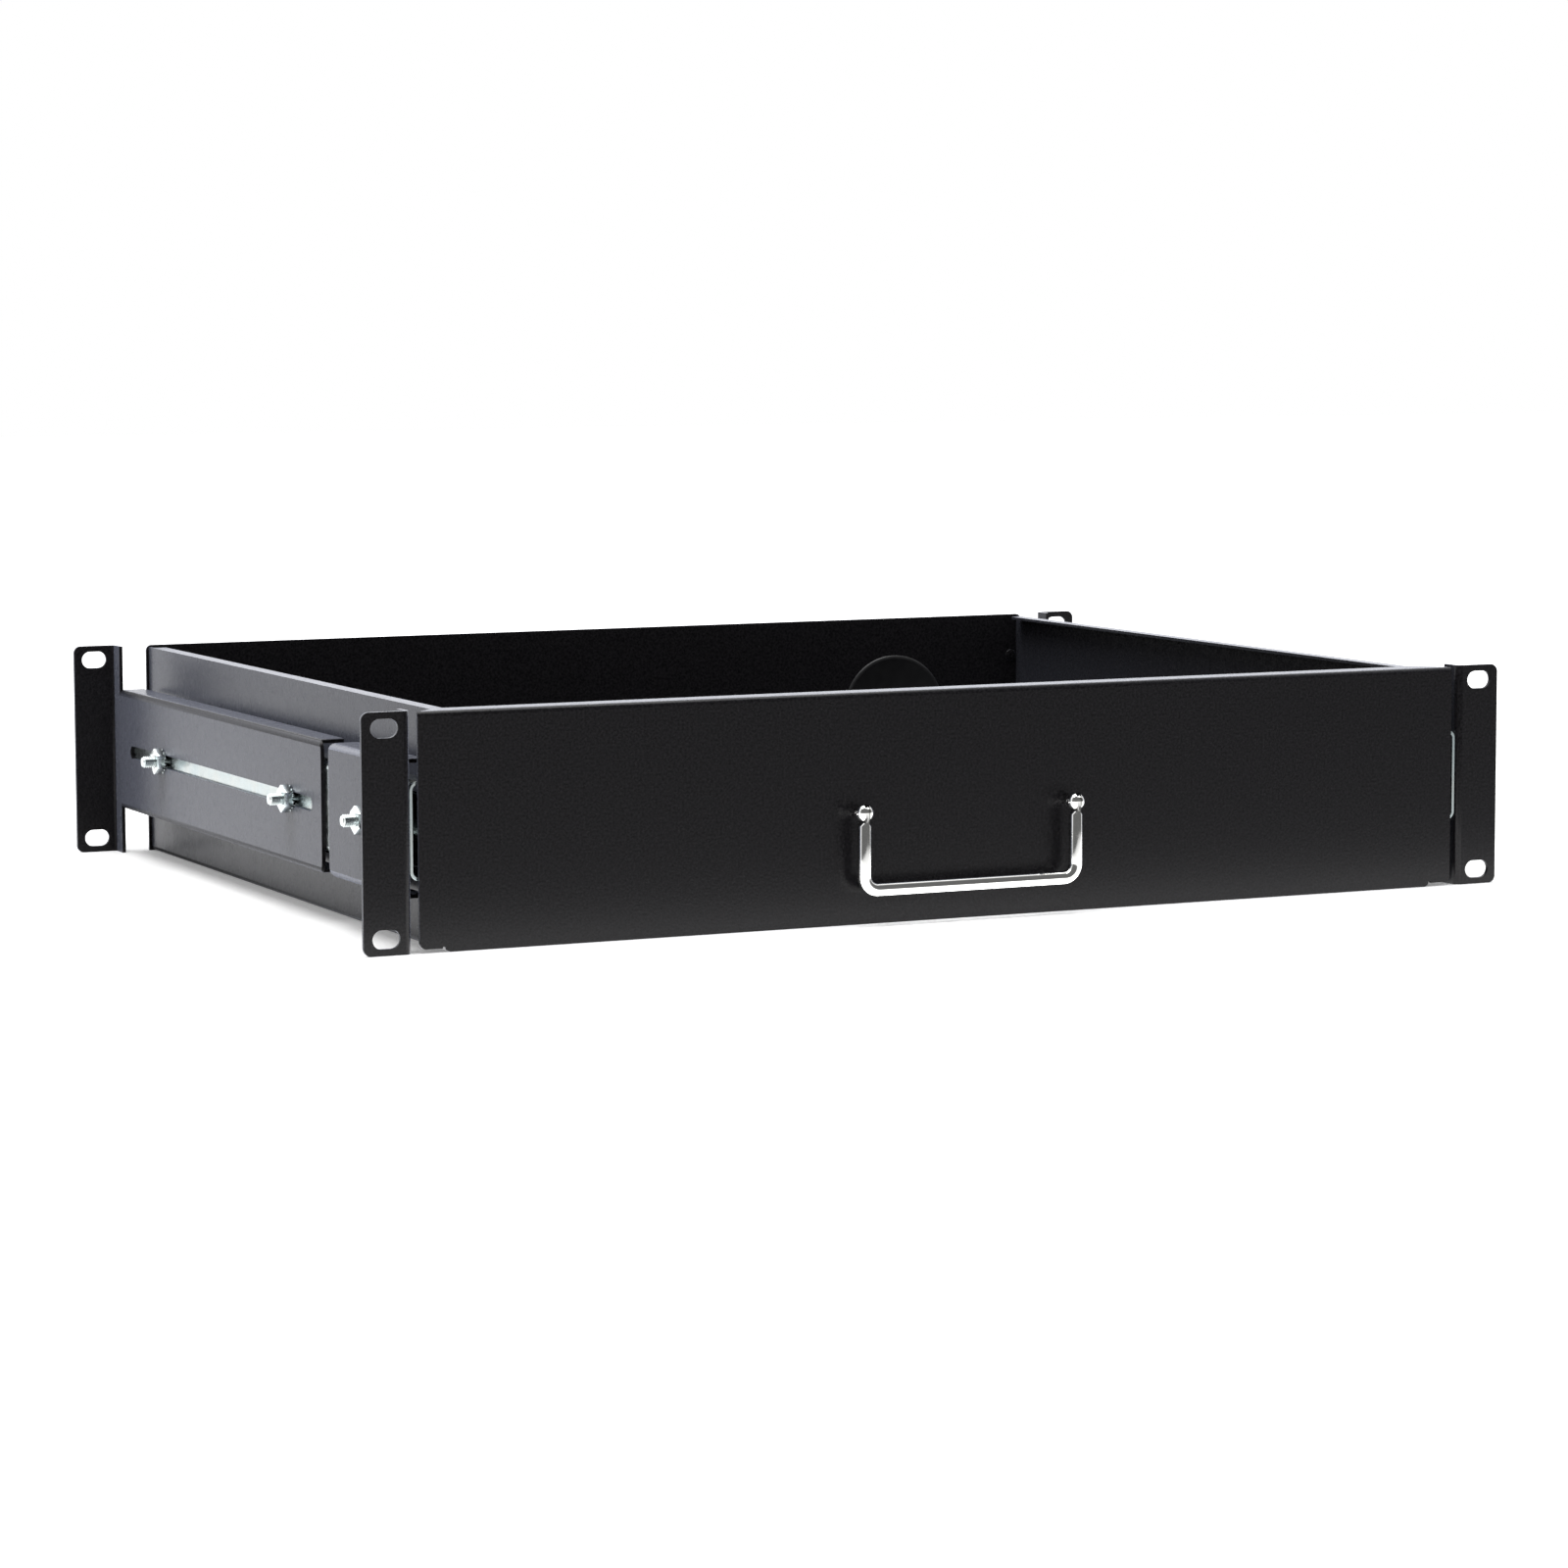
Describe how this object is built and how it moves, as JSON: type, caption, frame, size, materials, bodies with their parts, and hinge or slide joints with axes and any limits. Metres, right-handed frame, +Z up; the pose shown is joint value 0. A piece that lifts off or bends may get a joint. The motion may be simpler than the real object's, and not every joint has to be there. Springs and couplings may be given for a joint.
{
  "type": "sliding rack drawer",
  "caption": "Sheet-metal rack drawer on ball slides with depth-adjustable rear brackets, slotted rack ears and a drop handle.",
  "frame": {"origin": "centre of the four front rack slots, on the front face of the front ears", "axes": "+X to the right seen from the front, +Y from the front panel towards the back of the rack, +Z up"},
  "size_m": [0.4826, 0.3654, 0.0882],
  "materials": {
    "black_coat": "satin black powder coat on steel sheet",
    "black_rivet": "satin black painted rivets",
    "black_plastic": "smooth black plastic",
    "black_rubber": "matt black rubber",
    "zinc_plate": "bright bluish zinc plate on cold-rolled steel",
    "zinc_fastener": "bright zinc plate",
    "bearing_steel": "polished bearing steel",
    "handle_chrome": "bright chrome plate"
  },
  "bodies": {
    "frame": {"front_bracket_left": "black_coat", "front_bracket_right": "black_coat", "slide_outer_left": "zinc_plate", "slide_outer_right": "zinc_plate", "slide_bumper_left": "black_rubber", "slide_bumper_right": "black_rubber", "bracket_screws_left": "zinc_fastener", "bracket_screws_right": "zinc_fastener", "lock_washers_left": "zinc_fastener", "lock_washers_right": "zinc_fastener", "bracket_nuts_left": "zinc_fastener", "bracket_nuts_right": "zinc_fastener"},
    "rear_bracket_left": {"rear_bracket_left": "black_coat"},
    "rear_bracket_right": {"rear_bracket_right": "black_coat"},
    "drawer": {"drawer_tray": "black_coat", "corner_rivets": "black_rivet", "cable_hole_plug": "black_plastic", "slide_inner_left": "zinc_plate", "slide_inner_right": "zinc_plate", "drawer_screws_left": "zinc_fastener", "drawer_screws_right": "zinc_fastener", "handle_post_left": "handle_chrome", "handle_post_right": "handle_chrome", "handle_pins": "handle_chrome", "handle_washers": "zinc_fastener", "handle_nuts": "zinc_fastener"},
    "slide_middle_left": {"slide_middle_left": "zinc_plate"},
    "slide_middle_right": {"slide_middle_right": "zinc_plate"},
    "outer_cage_left": {"outer_balls_left": "bearing_steel", "outer_retainers_left": "zinc_plate"},
    "outer_cage_right": {"outer_balls_right": "bearing_steel", "outer_retainers_right": "zinc_plate"},
    "inner_cage_left": {"inner_balls_left": "bearing_steel", "inner_retainers_left": "zinc_plate"},
    "inner_cage_right": {"inner_balls_right": "bearing_steel", "inner_retainers_right": "zinc_plate"},
    "handle": {"handle_bail": "handle_chrome"}
  },
  "joints": [
    {"name": "drawer_slide", "type": "slide", "parent": "frame", "child": "drawer", "axis": [0, -1, 0], "range_m": [0, 0.3]},
    {"name": "middle_slide_left", "type": "slide", "parent": "frame", "child": "slide_middle_left", "axis": [0, -1, 0], "range_m": [0, 0.15]},
    {"name": "middle_slide_right", "type": "slide", "parent": "frame", "child": "slide_middle_right", "axis": [0, -1, 0], "range_m": [0, 0.15]},
    {"name": "outer_cage_slide_left", "type": "slide", "parent": "frame", "child": "outer_cage_left", "axis": [0, -1, 0], "range_m": [0, 0.075]},
    {"name": "outer_cage_slide_right", "type": "slide", "parent": "frame", "child": "outer_cage_right", "axis": [0, -1, 0], "range_m": [0, 0.075]},
    {"name": "inner_cage_slide_left", "type": "slide", "parent": "frame", "child": "inner_cage_left", "axis": [0, -1, 0], "range_m": [0, 0.225]},
    {"name": "inner_cage_slide_right", "type": "slide", "parent": "frame", "child": "inner_cage_right", "axis": [0, -1, 0], "range_m": [0, 0.225]},
    {"name": "rear_adjust_left", "type": "slide", "parent": "frame", "child": "rear_bracket_left", "axis": [0, 1, 0], "range_m": [-0.008, 0.0225]},
    {"name": "rear_adjust_right", "type": "slide", "parent": "frame", "child": "rear_bracket_right", "axis": [0, 1, 0], "range_m": [-0.008, 0.0225]},
    {"name": "handle_hinge", "type": "hinge", "parent": "drawer", "child": "handle", "pos_m": [0, -0.0078, -0.0008], "axis": [-1, 0, 0], "range_deg": [-4, 180]}
  ],
  "couplings": [
    {"joint": "middle_slide_left", "follows": "drawer_slide", "ratio": 0.5},
    {"joint": "middle_slide_right", "follows": "drawer_slide", "ratio": 0.5},
    {"joint": "outer_cage_slide_left", "follows": "drawer_slide", "ratio": 0.25},
    {"joint": "outer_cage_slide_right", "follows": "drawer_slide", "ratio": 0.25},
    {"joint": "inner_cage_slide_left", "follows": "drawer_slide", "ratio": 0.75},
    {"joint": "inner_cage_slide_right", "follows": "drawer_slide", "ratio": 0.75}
  ]
}
